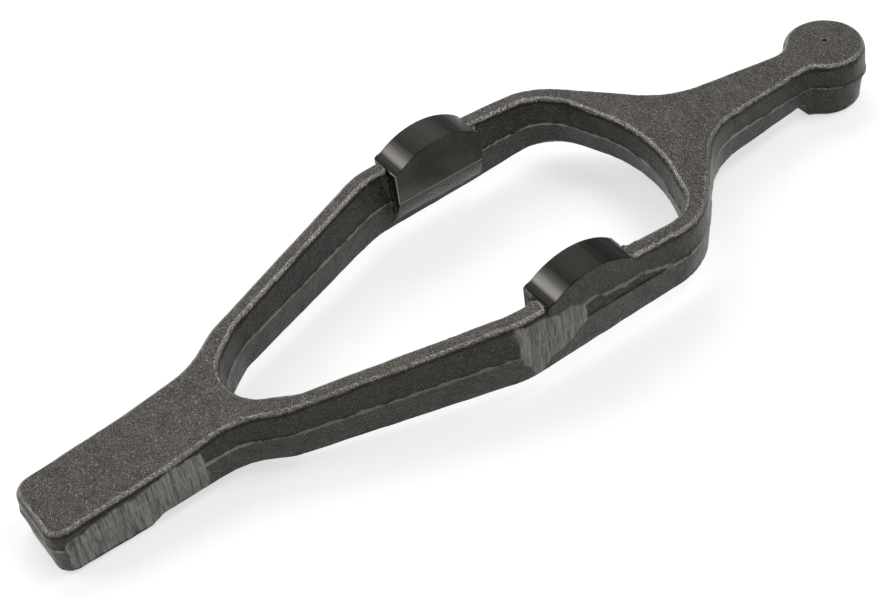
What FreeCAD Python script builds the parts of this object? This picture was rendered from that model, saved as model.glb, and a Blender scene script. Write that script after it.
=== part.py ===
"""Clutch release fork, one drop forging with two machined bearing pads.

The fork lies as it rests: +X runs from the push-rod end (tang) to the pivot boss, +Y is to its left and
+Z up.  The origin is on the floor, halfway along.  The two dies met at the parting line, where every
wall is widest, and each wall leans in above and below it by the draft angle.
All lengths are in millimetres.
"""
import FreeCAD, Part
import math
import os

from FreeCAD import Vector

# ---- overall -------------------------------------------------------------------------------------
LENGTH = 403.0              # tang end to the far side of the pivot boss
DRAFT_DEG = 4.0             # lean of every forged wall
EDGE_RADIUS = 3.0           # rounding of the edges above the parting line
LOWER_EDGE_CHAMFER = 1.5    # breaking of the edges below it

# ---- parting line, highest at the pads and falling to both ends --------------------------------------
PARTING_HEIGHT = 24.0
PARTING_TANG_HEIGHT = 13.4
PARTING_RING_HEIGHT = 22.5
PARTING_RING_X = 88.0       # behind the opening, where the line starts to fall faster
PARTING_BOSS_HEIGHT = 15.4

# ---- tang, the bar at the push-rod end ------------------------------------------------------------
TANG_END_HALF_WIDTH = 17.8
TANG_ROOT_HALF_WIDTH = 19.0
TANG_CORNER_RADIUS = 8.0
TANG_END_HEIGHT = 21.9
TANG_ROOT_HEIGHT = 25.2
TANG_ROOT_X = -152.0
TANG_BLOCK_LENGTH = 37.2    # the deeper block under the end
BLOCK_STEP_LENGTH = 6.0
BLOCK_STEP_HEIGHT = 3.2

# ---- arms, spreading from the shoulder to the ring -------------------------------------------------
SHOULDER_X = -123.8
SHOULDER_TOP_X = -107.8
SHOULDER_HALF_WIDTH = 29.0
SHOULDER_RADIUS = 28.0
SHOULDER_HEIGHT = 28.0
SHOULDER_HEIGHT_X = -132.5
ARM_BEND_X = -21.0
ARM_BEND_RADIUS = 40.0
ARM_WIDTH = 10.9            # along the ring's two parallel stretches, at the parting line
ARM_UNDERSIDE = 7.1

# ---- ring, with its two parallel stretches ---------------------------------------------------------
RING_HEIGHT = 38.6
RING_UNDERSIDE = 8.9
RING_FALL_X = 34.0          # where the upper face starts to fall to the neck
RING_CLOSE_X = 67.6
RING_CLOSE_RADIUS = 34.0

# ---- opening ---------------------------------------------------------------------------------------
OPENING_NOSE_X = -115.0
OPENING_NOSE_HALF_WIDTH = 9.4
OPENING_NOSE_RADIUS = 15.0
OPENING_SHOULDER_X = -98.0
OPENING_SHOULDER_HALF_WIDTH = 21.6
OPENING_BEND_X = -19.4
OPENING_CLOSE_DEG = 20.0    # how far the closing wall's sides turn back from straight across
OPENING_CLOSE_RADIUS = 19.0
OPENING_END_X = 80.2
OPENING_END_RADIUS = 62.0
OPENING_END_FLAT = 1.0
OPENING_END_LEAN_DEG = 8.0  # extra lean of the closing wall below the parting line
OPENING_MOUTH_HEIGHT = 12.8  # where the trimmed lower mouth starts on the closing wall

# ---- neck and pivot boss ---------------------------------------------------------------------------
NECK_ROOT_X = 108.9
NECK_ROOT_HALF_WIDTH = 15.0
NECK_ROOT_RADIUS = 40.0
NECK_END_HALF_WIDTH = 9.2
NECK_UNDERSIDE = 7.7
BOSS_RADIUS = 18.3
BOSS_HEIGHT = 27.8
BOSS_LOWER_STEP = 0.8       # the lower die's boss is this much smaller in radius
BOSS_BLEND_RADIUS = 8.0
BOSS_FACE_X = 160.0         # where the neck's upper face levels out into the boss
BOSS_UNDERSIDE_FILLET = 5.0

# ---- bearing pads -----------------------------------------------------------------------------------
PAD_GAP = 84.0              # between the two machined inner faces
PAD_REACH = 5.1             # how far each pad stands into the opening
PAD_OUTER_SETBACK = 0.4     # of its outer side behind the arm's parting line
PAD_START_X = -9.9
PAD_LENGTH = 42.4
PAD_CREST_X = 11.2
PAD_CREST_HEIGHT = 46.2
PAD_CREST_RADIUS = 31.0
PAD_CUTTER_RADIUS = 4.0     # hollow that the cutter leaves at the tang end of the crest
PAD_CREST_START_X = -6.0
PAD_FLAT_BOTTOM = 24.4
PAD_BLEND_RADIUS = 5.0
PAD_BLEND_REACH = 8.0
PAD_FLANK_BULGE = 0.8       # how far the wall under the flat bellies out

# ---- seats in the underside ----------------------------------------------------------------------------
PIVOT_BALL_RADIUS = 11.0
PIVOT_SEAT_DEPTH = 10.0
PUSHROD_BALL_RADIUS = 8.0
PUSHROD_SEAT_DEPTH = 7.0
PUSHROD_SEAT_X = -183.0
SEAT_CHAMFER = 1.0

# ---- worked out from the sizes above -----------------------------------------------------------------
TANG_END_X = -LENGTH / 2
BOSS_X = LENGTH / 2 - BOSS_RADIUS
BLOCK_END_X = TANG_END_X + TANG_BLOCK_LENGTH
PAD_END_X = PAD_START_X + PAD_LENGTH
PAD_MIDDLE_X = (PAD_START_X + PAD_END_X) / 2
PAD_INNER = PAD_GAP / 2
OPENING_HALF_WIDTH = PAD_INNER + PAD_REACH
RING_HALF_WIDTH = OPENING_HALF_WIDTH + ARM_WIDTH
PAD_OUTER_HALF_WIDTH = RING_HALF_WIDTH - PAD_OUTER_SETBACK
DRAFT = math.tan(math.radians(DRAFT_DEG))
END_LEAN = math.tan(math.radians(OPENING_END_LEAN_DEG))
PARTING_LINE = [
    (TANG_END_X, PARTING_TANG_HEIGHT),
    (PAD_MIDDLE_X, PARTING_HEIGHT),
    (PARTING_RING_X, PARTING_RING_HEIGHT),
    (BOSS_X, PARTING_BOSS_HEIGHT),
]

# ---- settings of the construction ---------------------------------------------------------------------
MARGIN = 30.0               # how far working solids reach past the forging
DIE_DEPTH = 30.0            # depth of the working prisms on each side of the parting line
CRANK_RADIUS = 90.0         # easing of every bend in the side view
BOSS_HEEL = 2.0             # how far under the boss the neck's lower face runs
BOSS_BLEND_EASE = 0.06      # radians; keeps a short straight between the blend and the boss
SHARP_COSINE = 0.9
PAD_SINK = 1.5              # how far the pad's root reaches into the arm's walls


def unit(vector):
    return vector * (1.0 / vector.Length)


def left_of(direction):
    return Vector(-direction.y, direction.x, 0)


def moved_corners(corners, outward):
    """Corners (x, y, radius) of a counter-clockwise outline, with every side moved outward."""
    count = len(corners)
    points = [Vector(x, y, 0) for x, y, radius in corners]
    moved = []
    for i in range(count):
        before = unit(points[i] - points[i - 1])
        after = unit(points[(i + 1) % count] - points[i])
        turn = before.x * after.y - before.y * after.x
        shift = (left_of(before) + left_of(after)) * (-outward / (1 + before.dot(after)))
        radius = corners[i][2]
        if radius:
            radius += outward if turn > 0 else -outward
        moved.append((points[i].x + shift.x, points[i].y + shift.y, radius))
    return moved


def rounded_wire(corners, place):
    """Closed wire of straight sides and tangent arcs; place(u, v) puts an outline point in space."""
    count = len(corners)
    points = [Vector(x, y, 0) for x, y, radius in corners]
    starts, middles, ends = [], [], []
    for i in range(count):
        back = unit(points[i - 1] - points[i])
        ahead = unit(points[(i + 1) % count] - points[i])
        half = math.acos(max(-1.0, min(1.0, back.dot(ahead)))) / 2
        radius = corners[i][2]
        reach = radius / math.tan(half)
        bisector = unit(back + ahead) if radius else Vector(0, 0, 0)
        starts.append(points[i] + back * reach)
        ends.append(points[i] + ahead * reach)
        middles.append(points[i] + bisector * (radius / math.sin(half) - radius))
    edges = []
    for i in range(count):
        if corners[i][2]:
            arc = [place(p.x, p.y) for p in (starts[i], middles[i], ends[i])]
            edges.append(Part.Arc(*arc).toShape())
        following = starts[(i + 1) % count]
        if (following - ends[i]).Length > 1e-6:
            side = Part.LineSegment(place(ends[i].x, ends[i].y), place(following.x, following.y))
            edges.append(side.toShape())
    return Part.Wire(edges)


def boss_corners(radius):
    """Corners of the boss's outline from the blend with the neck round to its far side, +Y half."""
    blend_height = NECK_END_HALF_WIDTH + BOSS_BLEND_RADIUS
    first = math.pi - math.asin(blend_height / (radius + BOSS_BLEND_RADIUS)) - BOSS_BLEND_EASE
    neck_start = Vector(NECK_ROOT_X, NECK_ROOT_HALF_WIDTH, 0)
    neck_run = Vector(BOSS_X - BOSS_RADIUS, NECK_END_HALF_WIDTH, 0) - neck_start
    normal = Vector(math.cos(first), math.sin(first), 0)
    along = (radius - normal.dot(neck_start - Vector(BOSS_X, 0, 0))) / normal.dot(neck_run)
    blend = neck_start + neck_run * along
    corners = [(blend.x, blend.y, BOSS_BLEND_RADIUS)]
    turn = first / 3
    for angle in (2 * turn, 0):
        reach = radius / math.cos(turn)
        corners.append((BOSS_X + reach * math.cos(angle), reach * math.sin(angle), radius))
    return corners


def mirrored(upper_side):
    """Counter-clockwise outline from its +Y half, listed from the tang to the boss."""
    lower_side = [(x, -y, radius) for x, y, radius in upper_side if y > 1e-6]
    return lower_side + upper_side[::-1]


def forging_outline(boss_radius):
    side = [
        (TANG_END_X, TANG_END_HALF_WIDTH, TANG_CORNER_RADIUS),
        (SHOULDER_X, TANG_ROOT_HALF_WIDTH, SHOULDER_RADIUS),
        (SHOULDER_TOP_X, SHOULDER_HALF_WIDTH, SHOULDER_RADIUS),
        (ARM_BEND_X, RING_HALF_WIDTH, ARM_BEND_RADIUS),
        (RING_CLOSE_X, RING_HALF_WIDTH, RING_CLOSE_RADIUS),
        (NECK_ROOT_X, NECK_ROOT_HALF_WIDTH, NECK_ROOT_RADIUS),
    ]
    return mirrored(side + boss_corners(boss_radius))


def opening_outline():
    close = math.radians(OPENING_CLOSE_DEG)
    end_half_width = OPENING_END_RADIUS * math.tan(close / 2) + OPENING_END_FLAT
    close_x = OPENING_END_X - (OPENING_HALF_WIDTH - end_half_width) * math.tan(close)
    side = [
        (OPENING_NOSE_X, OPENING_NOSE_HALF_WIDTH, OPENING_NOSE_RADIUS),
        (OPENING_SHOULDER_X, OPENING_SHOULDER_HALF_WIDTH, OPENING_NOSE_RADIUS),
        (OPENING_BEND_X, OPENING_HALF_WIDTH, ARM_BEND_RADIUS),
        (close_x, OPENING_HALF_WIDTH, OPENING_CLOSE_RADIUS),
        (OPENING_END_X, end_half_width, OPENING_END_RADIUS),
    ]
    return mirrored(side)


def end_moved(corners, shift):
    """The opening's corners with those of its closing wall moved towards the boss."""
    return [(x + (shift if x > PAD_END_X else 0), y, radius) for x, y, radius in corners]


def drafted(near, far, height):
    """Prism with straight walls between an outline at zero and another one at a height."""
    wires = [
        rounded_wire(near, lambda x, y: Vector(x, y, 0)),
        rounded_wire(far, lambda x, y: Vector(x, y, height)),
    ]
    return Part.makeLoft(wires, True, True)


def die_halves():
    """The forging's plan form with its opening, parted at z = 0 and drafted both ways."""
    lean = DIE_DEPTH * DRAFT
    halves = []
    for height, boss_radius in ((DIE_DEPTH, BOSS_RADIUS), (-DIE_DEPTH, BOSS_RADIUS - BOSS_LOWER_STEP)):
        outline = forging_outline(boss_radius)
        opening = opening_outline()
        mouth = moved_corners(opening, lean)
        if height < 0:
            mouth = end_moved(mouth, DIE_DEPTH * END_LEAN)
        half = drafted(outline, moved_corners(outline, -lean), height)
        halves.append(half.cut(drafted(opening, mouth, height)))
    return halves[0].fuse(halves[1])


def sloped(solid, start, end):
    """Shear a solid upright, so that its plane at zero passes through two points (x, z)."""
    slope = FreeCAD.Matrix()
    slope.A31 = (end[1] - start[1]) / (end[0] - start[0])
    slope.A34 = start[1] - slope.A31 * start[0]
    return solid.transformGeometry(slope)


def set_on_parting_line(flat):
    """Stand the flat forging on the parting line, one stretch at a time."""
    stretches = []
    for i in range(len(PARTING_LINE) - 1):
        start, end = PARTING_LINE[i], PARTING_LINE[i + 1]
        zone_start = start[0] - (MARGIN if i == 0 else 0)
        zone_end = end[0] + (MARGIN if i == len(PARTING_LINE) - 2 else 0)
        zone = Part.makeBox(zone_end - zone_start, 4 * RING_HALF_WIDTH, 4 * DIE_DEPTH)
        zone.translate(Vector(zone_start, -2 * RING_HALF_WIDTH, -2 * DIE_DEPTH))
        stretches.append(sloped(flat.common(zone), start, end))
    return stretches[0].fuse(stretches[1:]).removeSplitter()


def opening_mouth():
    """Cutter that widens the opening's lower mouth more and more towards the closing wall."""
    fall = PARTING_RING_HEIGHT - OPENING_MOUTH_HEIGHT
    mouth = end_moved(moved_corners(opening_outline(), fall * DRAFT), fall * END_LEAN)
    cutter = drafted(mouth, moved_corners(mouth, DIE_DEPTH), -DIE_DEPTH)
    return sloped(cutter, (ARM_BEND_X, ARM_UNDERSIDE), (OPENING_END_X, OPENING_MOUTH_HEIGHT))


def side_profile():
    """Side view of the forging, extruded across it: what the cranked upper and lower faces leave."""
    tang_slope = (TANG_ROOT_HEIGHT - TANG_END_HEIGHT) / (TANG_ROOT_X - TANG_END_X)
    before = TANG_END_X - MARGIN
    beyond = LENGTH / 2 + MARGIN
    corners = [
        (before, 0, 0),
        (BLOCK_END_X, 0, BLOCK_STEP_LENGTH / 2),
        (BLOCK_END_X + BLOCK_STEP_LENGTH, BLOCK_STEP_HEIGHT, BLOCK_STEP_LENGTH / 2),
        (ARM_BEND_X, ARM_UNDERSIDE, CRANK_RADIUS),
        (RING_CLOSE_X, RING_UNDERSIDE, CRANK_RADIUS),
        (BOSS_X - BOSS_RADIUS + BOSS_HEEL, NECK_UNDERSIDE, BOSS_UNDERSIDE_FILLET),
        (BOSS_X - BOSS_RADIUS + BOSS_HEEL, 0, 0),
        (beyond, 0, 0),
        (beyond, BOSS_HEIGHT, 0),
        (BOSS_FACE_X, BOSS_HEIGHT, CRANK_RADIUS),
        (RING_FALL_X, RING_HEIGHT, CRANK_RADIUS),
        (ARM_BEND_X, RING_HEIGHT, CRANK_RADIUS),
        (SHOULDER_HEIGHT_X, SHOULDER_HEIGHT, CRANK_RADIUS),
        (TANG_ROOT_X, TANG_ROOT_HEIGHT, CRANK_RADIUS),
        (before, TANG_END_HEIGHT - tang_slope * MARGIN, 0),
    ]
    width = 2 * RING_HALF_WIDTH + MARGIN
    wire = rounded_wire(corners, lambda x, z: Vector(x, -width / 2, z))
    return Part.Face(wire).extrude(Vector(0, width, 0))


def parting_height(x):
    start, end = PARTING_LINE[-2:]
    for i in range(len(PARTING_LINE) - 1, 0, -1):
        if x <= PARTING_LINE[i][0]:
            start, end = PARTING_LINE[i - 1], PARTING_LINE[i]
    return start[1] + (x - start[0]) * (end[1] - start[1]) / (end[0] - start[0])


def sharp_edges(solid, above_parting):
    """Edges above or below the parting line whose two faces meet at a clear angle."""
    found = []
    for edge in solid.Edges:
        faces = solid.ancestorsOfType(edge, Part.Face)
        if len(faces) != 2:
            continue
        middle = edge.valueAt((edge.FirstParameter + edge.LastParameter) / 2)
        normals = [face.normalAt(*face.Surface.parameter(middle)) for face in faces]
        rise = middle.z - parting_height(middle.x)
        on_side = rise > 1.0 if above_parting else rise < -1.0
        if normals[0].dot(normals[1]) < SHARP_COSINE and on_side:
            found.append(edge)
    return found


def forging():
    body = set_on_parting_line(die_halves()).common(side_profile())
    body = body.makeFillet(EDGE_RADIUS, sharp_edges(body, True))
    body = body.makeChamfer(LOWER_EDGE_CHAMFER, sharp_edges(body, False))
    return body.cut(opening_mouth())


def pad_crest():
    """One pad's bearing crest and machined inner face, at y > 0."""
    centre = Vector(PAD_CREST_X, 0, PAD_CREST_HEIGHT - PAD_CREST_RADIUS)
    lead = math.asin((PAD_CREST_X - PAD_CREST_START_X) / PAD_CREST_RADIUS)
    outward = Vector(-math.sin(lead), 0, math.cos(lead))
    crest_start = centre + outward * PAD_CREST_RADIUS
    crest_top = Vector(PAD_CREST_X, 0, PAD_CREST_HEIGHT)
    run_out = PAD_END_X - PAD_CREST_X
    crest_end = centre + Vector(run_out, 0, math.sqrt(PAD_CREST_RADIUS ** 2 - run_out ** 2))
    hollow = crest_start + outward * PAD_CUTTER_RADIUS
    hollow_reach = hollow.x - PAD_START_X
    hollow_start = hollow - Vector(hollow_reach, 0, math.sqrt(PAD_CUTTER_RADIUS ** 2 - hollow_reach ** 2))
    hollow_low = hollow - Vector(0, 0, PAD_CUTTER_RADIUS)
    foot_start = Vector(PAD_START_X, 0, PAD_FLAT_BOTTOM)
    foot_end = Vector(PAD_END_X, 0, PAD_FLAT_BOTTOM)
    profile = Part.Wire([
        Part.LineSegment(foot_start, hollow_start).toShape(),
        Part.Arc(hollow_start, hollow_low, crest_start).toShape(),
        Part.Arc(crest_start, crest_top, crest_end).toShape(),
        Part.LineSegment(crest_end, foot_end).toShape(),
        Part.LineSegment(foot_end, foot_start).toShape(),
    ])
    crest = Part.Face(profile).extrude(Vector(0, PAD_OUTER_HALF_WIDTH - PAD_INNER, 0))
    crest.translate(Vector(0, PAD_INNER, 0))
    return crest


def pad_root():
    """The forged lug under one pad, blended into the arm at both ends and drawn in under the flat."""
    wall = OPENING_HALF_WIDTH + PAD_SINK
    plan = [
        (PAD_START_X - PAD_BLEND_REACH, wall, 0),
        (PAD_START_X, wall, PAD_BLEND_RADIUS),
        (PAD_START_X, PAD_INNER, 0),
        (PAD_END_X, PAD_INNER, 0),
        (PAD_END_X, wall, PAD_BLEND_RADIUS),
        (PAD_END_X + PAD_BLEND_REACH, wall, 0),
        (PAD_END_X + PAD_BLEND_REACH, wall + PAD_SINK, 0),
        (PAD_START_X - PAD_BLEND_REACH, wall + PAD_SINK, 0),
    ]
    outline = rounded_wire(plan, lambda x, y: Vector(x, y, 0))
    prism = Part.Face(outline).extrude(Vector(0, 0, RING_HEIGHT - EDGE_RADIUS))
    start = PAD_START_X - PAD_BLEND_REACH
    length = PAD_LENGTH + 2 * PAD_BLEND_REACH
    flat_foot = Vector(start, PAD_INNER, PAD_FLAT_BOTTOM)
    flank_foot = Vector(start, wall + PAD_SINK, ARM_UNDERSIDE + EDGE_RADIUS / 2)
    bulge = (flat_foot + flank_foot) / 2 - Vector(0, PAD_FLANK_BULGE, PAD_FLANK_BULGE)
    outer_foot = Vector(start, PAD_OUTER_HALF_WIDTH - PAD_SINK, ARM_UNDERSIDE + EDGE_RADIUS)
    outer_top = Vector(start, PAD_OUTER_HALF_WIDTH - PAD_SINK, RING_HEIGHT)
    inner_top = Vector(start, PAD_INNER, RING_HEIGHT)
    section = Part.Wire([
        Part.Arc(flat_foot, bulge, flank_foot).toShape(),
        Part.LineSegment(flank_foot, outer_foot).toShape(),
        Part.LineSegment(outer_foot, outer_top).toShape(),
        Part.LineSegment(outer_top, inner_top).toShape(),
        Part.LineSegment(inner_top, flat_foot).toShape(),
    ])
    return prism.common(Part.Face(section).extrude(Vector(length, 0, 0)))


def ball_seat(x, radius, depth):
    """Cutter for a spherical seat in the underside, with a chamfered mouth at the floor."""
    mouth = math.sqrt(radius ** 2 - (SEAT_CHAMFER + radius - depth) ** 2)
    ball = Part.makeSphere(radius, Vector(x, 0, depth - radius))
    chamfer = Part.makeCone(mouth + SEAT_CHAMFER, mouth, SEAT_CHAMFER, Vector(x, 0, 0), Vector(0, 0, 1))
    return ball.fuse(chamfer)


def clutch_fork():
    fork = forging()
    for pad in (pad_crest(), pad_root()):
        fork = fork.fuse([pad, pad.mirror(Vector(0, 0, 0), Vector(0, 1, 0))])
    fork = fork.removeSplitter()
    fork = fork.cut([
        ball_seat(BOSS_X, PIVOT_BALL_RADIUS, PIVOT_SEAT_DEPTH),
        ball_seat(PUSHROD_SEAT_X, PUSHROD_BALL_RADIUS, PUSHROD_SEAT_DEPTH),
    ])
    return fork


def main():
    os.makedirs("parts", exist_ok=True)
    fork = clutch_fork()
    box = fork.BoundBox
    print("solids", len(fork.Solids), "valid", fork.isValid(), "faces", len(fork.Faces))
    print("volume cm3", round(fork.Volume / 1000, 2))
    print("size", round(box.XLength, 2), round(box.YLength, 2), round(box.ZLength, 2))
    fork.Solids[0].exportStep("parts/clutch_fork.step")


main()
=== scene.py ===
# %% [markdown]
# # A forged clutch release fork
#
# The fork is one drop forging.  It was shot-blasted after forging, so its skin is grey-brown and finely
# pitted.  Only the two bearing pads were machined, on their crest and on their inner side, and two places
# on the near side were ground flat by hand.
#
# The CAD model has the shape.  This lesson makes the surface that a person sees: the flash line where the
# dies met, the ground flats, the broken edges of the machined pads and the finish of every face.
# All lengths are in metres, in the frame of the CAD model.

import math

import bmesh
import bpy
from mathutils import Matrix, Vector, noise


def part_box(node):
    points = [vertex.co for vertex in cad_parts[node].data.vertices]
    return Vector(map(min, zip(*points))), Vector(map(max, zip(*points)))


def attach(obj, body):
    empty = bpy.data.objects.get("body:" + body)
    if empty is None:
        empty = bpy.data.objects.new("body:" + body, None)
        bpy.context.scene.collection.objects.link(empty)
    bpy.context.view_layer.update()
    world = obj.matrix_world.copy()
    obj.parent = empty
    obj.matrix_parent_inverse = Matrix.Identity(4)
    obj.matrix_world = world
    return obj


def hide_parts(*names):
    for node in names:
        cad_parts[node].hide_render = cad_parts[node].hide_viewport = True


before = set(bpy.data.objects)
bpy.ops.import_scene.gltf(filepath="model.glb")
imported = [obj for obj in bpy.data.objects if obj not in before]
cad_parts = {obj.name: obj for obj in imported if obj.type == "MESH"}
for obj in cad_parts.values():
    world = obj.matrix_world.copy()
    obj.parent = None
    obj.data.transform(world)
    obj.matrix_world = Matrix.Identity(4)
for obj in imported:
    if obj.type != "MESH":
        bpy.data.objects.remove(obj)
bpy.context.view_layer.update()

# %% [markdown]
# ## Sizes
#
# A scene is easier to read when every place has a name.  The drawing of a forging is in millimetres, so
# one factor turns millimetres into Blender's metres.  The parting line is where the two dies met: it is
# highest at the pads and falls to both ends, in three straight stretches.

# %% Named places on the fork
MM = 0.001
TANG_END_X = -201.5 * MM
PAD_START_X = -9.9 * MM
PAD_MIDDLE_X = 11.3 * MM
PAD_END_X = 32.5 * MM
PAD_INNER_Y = 42.0 * MM
PAD_OUTER_Y = 57.6 * MM
PAD_FLAT_BOTTOM = 24.4 * MM
RING_HEIGHT = 38.6 * MM
BOSS_X = 183.2 * MM
BOSS_HEIGHT = 27.8 * MM
PARTING_LINE = (
    (TANG_END_X, 13.4 * MM),
    (PAD_MIDDLE_X, 24.0 * MM),
    (88.0 * MM, 22.5 * MM),
    (BOSS_X, 15.4 * MM),
)
fork_low, fork_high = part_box("clutch_fork")
print("fork", round(fork_high.x - fork_low.x, 4), "m long,", round(fork_high.z, 4), "m tall")


def stretches():
    """Height at x = 0 and slope of each stretch of the parting line."""
    lines = []
    for (start_x, start_z), (end_x, end_z) in zip(PARTING_LINE, PARTING_LINE[1:]):
        slope = (end_z - start_z) / (end_x - start_x)
        lines.append((start_z - slope * start_x, slope))
    return lines


def parting_height(x):
    """Height of the line where the two dies met: the lowest of the three stretches."""
    return min(height + slope * x for height, slope in stretches())


print("parting line", round(parting_height(0), 4), "m high at the middle")

# %% [markdown]
# ## Camera
#
# The camera stands in front and to the left of the fork and looks down at it at about 45 degrees.  Its
# axes are given directly: what is to its right, what is up, and what is behind it.

# %% Camera
CAMERA_PLACE = Vector((-0.27583, -0.45244, 0.51855))
CAMERA_RIGHT = Vector((0.807, -0.581, -0.108)).normalized()
CAMERA_BACK = Vector((-0.353, -0.620, 0.701)).normalized()
CAMERA_LENS = 74.16

camera_up = CAMERA_BACK.cross(CAMERA_RIGHT).normalized()
camera_data = bpy.data.cameras.new("camera")
camera_data.lens = CAMERA_LENS
camera_data.sensor_width = 36.0
camera = bpy.data.objects.new("camera", camera_data)
bpy.context.scene.collection.objects.link(camera)
turn = Matrix((camera_up.cross(CAMERA_BACK), camera_up, CAMERA_BACK)).transposed()
camera.matrix_world = Matrix.Translation(CAMERA_PLACE) @ turn.to_4x4()
bpy.context.scene.camera = camera
print("camera looks down at", round(math.degrees(math.asin(CAMERA_BACK.z)), 1), "degrees")

# %% [markdown]
# ## The forging's own mesh
#
# A CAD mesh is made for size and contact, so its flat faces are long thin triangles.  To shape a surface
# by hand it needs points where the work is.  The fork could be modelled afresh from a cube, but its draft
# and its blends are already true in the CAD solid, so a copy of that mesh is the better start.  The copy is
# merged and its flat areas are joined to single faces.

# %% Copy the CAD solid
SAME_PLACE = 0.002 * MM
SAME_PLANE = math.radians(0.2)

bpy.ops.object.select_all(action="DESELECT")
cad_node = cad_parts["clutch_fork"]
fork = cad_node.copy()
fork.data = cad_node.data.copy()
fork.name = "forging"
bpy.context.scene.collection.objects.link(fork)
fork.data.materials.clear()
bpy.context.view_layer.objects.active = fork
fork.select_set(True)
bpy.ops.object.mode_set(mode="EDIT")
bpy.ops.mesh.select_all(action="SELECT")
bpy.ops.mesh.remove_doubles(threshold=SAME_PLACE)
bpy.ops.mesh.dissolve_limited(angle_limit=SAME_PLANE)
bpy.ops.object.mode_set(mode="OBJECT")
print("merged copy", len(fork.data.vertices), "points,", len(fork.data.polygons), "faces")

# %% [markdown]
# ## Broken edges of the machined pads
#
# A milling cutter leaves an edge as sharp as a knife, and a fitter breaks it with a file.  A Bevel
# modifier would round every sharp edge of the fork.  Here the edges are picked in code and the bevel
# operator takes only those, the outward ones between the pads' own faces; the forged edges are round
# already.  It comes before the net, while each edge is still one long piece.

# %% Break the pads' sharp edges
PAD_EDGE_BREAK = 0.35 * MM
SHARP_ANGLE = math.radians(55)
NEAR = 0.1 * MM


def on_pad(place):
    """Whether a place is on a pad's machined block."""
    along = PAD_START_X - NEAR < place.x < PAD_END_X + NEAR
    across = PAD_INNER_Y - NEAR < abs(place.y) < PAD_OUTER_Y + NEAR
    return along and across and place.z > PAD_FLAT_BOTTOM - NEAR


bpy.ops.object.mode_set(mode="EDIT")
bpy.ops.mesh.select_mode(type="EDGE")
bpy.ops.mesh.select_all(action="DESELECT")
bm = bmesh.from_edit_mesh(fork.data)
bm.normal_update()
broken = 0
for edge in bm.edges:
    if len(edge.link_faces) != 2 or not all(on_pad(point.co) for point in edge.verts):
        continue
    middle = (edge.verts[0].co + edge.verts[1].co) / 2
    above_arm = middle.z > RING_HEIGHT + 3 * NEAR or abs(middle.y) < PAD_INNER_Y + NEAR
    if above_arm and edge.is_convex and edge.calc_face_angle() > SHARP_ANGLE:
        edge.select_set(True)
        broken += 1
bmesh.update_edit_mesh(fork.data)
bpy.ops.mesh.bevel(offset=PAD_EDGE_BREAK, segments=2, affect="EDGES", clamp_overlap=True)
bpy.ops.object.mode_set(mode="OBJECT")
print("broke", broken, "edges of the pads")

# %% [markdown]
# ## A net of points
#
# The next steps move points, and a large flat face has none in its middle.  Remeshing would give points
# everywhere but would soften the pads' edges.  Planes that cut straight through the piece give it an even
# net of small faces and leave its shape as it is.

# %% Cut the net
NET_STEP = 3.0 * MM


def cut(point, normal):
    """Cuts every selected face of the piece in edit mode where a plane crosses it."""
    bpy.ops.mesh.bisect(plane_co=point, plane_no=normal, threshold=0.000001)


bpy.ops.object.mode_set(mode="EDIT")
for step in range(int((fork_high.x - fork_low.x) / NET_STEP)):
    bpy.ops.mesh.select_all(action="SELECT")
    cut((fork_low.x + (step + 0.5) * NET_STEP, 0, 0), (1, 0, 0))
for step in range(int((fork_high.y - fork_low.y) / NET_STEP)):
    bpy.ops.mesh.select_all(action="SELECT")
    cut((0, fork_low.y + (step + 0.5) * NET_STEP, 0), (0, 1, 0))
for corner_x, _ in PARTING_LINE[1:3]:
    bpy.ops.mesh.select_all(action="SELECT")
    cut((corner_x, 0, 0), (1, 0, 0))
bpy.ops.object.mode_set(mode="OBJECT")
print("net", len(fork.data.vertices), "points,", len(fork.data.polygons), "faces")

# %% [markdown]
# ## Rows along the parting line
#
# The flash stands exactly on the parting line, so the walls need rows of points that run beside it.  Each
# straight stretch of the line gets its own sloped cuts, close together at the line and wider apart away
# from it.

# %% Cut rows along the parting line
FLASH_FOOT = 0.45 * MM
WALL_ROWS = [row * MM for row in (-12, -8, -4.5, -1.5, -0.45, 0.45, 1.5, 4.5, 8)]

bpy.ops.object.mode_set(mode="EDIT")
bpy.ops.mesh.select_mode(type="FACE")
zone_ends = (fork_low.x, PAD_MIDDLE_X, PARTING_LINE[2][0], fork_high.x)
for zone, (height, slope) in enumerate(stretches()):
    for row in WALL_ROWS:
        bpy.ops.mesh.select_all(action="DESELECT")
        bm = bmesh.from_edit_mesh(fork.data)
        for face in bm.faces:
            face.select_set(zone_ends[zone] < face.calc_center_median().x < zone_ends[zone + 1])
        bmesh.update_edit_mesh(fork.data)
        cut((0, 0, height + row), (-slope, 0, 1))
bpy.ops.object.mode_set(mode="OBJECT")
print("with parting rows", len(fork.data.vertices), "points,", len(fork.data.polygons), "faces")

# %% [markdown]
# ## Ends of the pads
#
# Where a pad's root meets the arm, the forging's top face runs on over the blend and rounds off into it.
# The root's small top faces are low and flat in the CAD model.  A smooth brush would round them by eye; a
# formula does it the same on both pads.  A finer net is cut there, and each point is lifted to the height
# of an arc that starts at the blend's edge.  The cutter's hollow at the tang end runs out level, so its
# rim is brought down.

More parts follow.
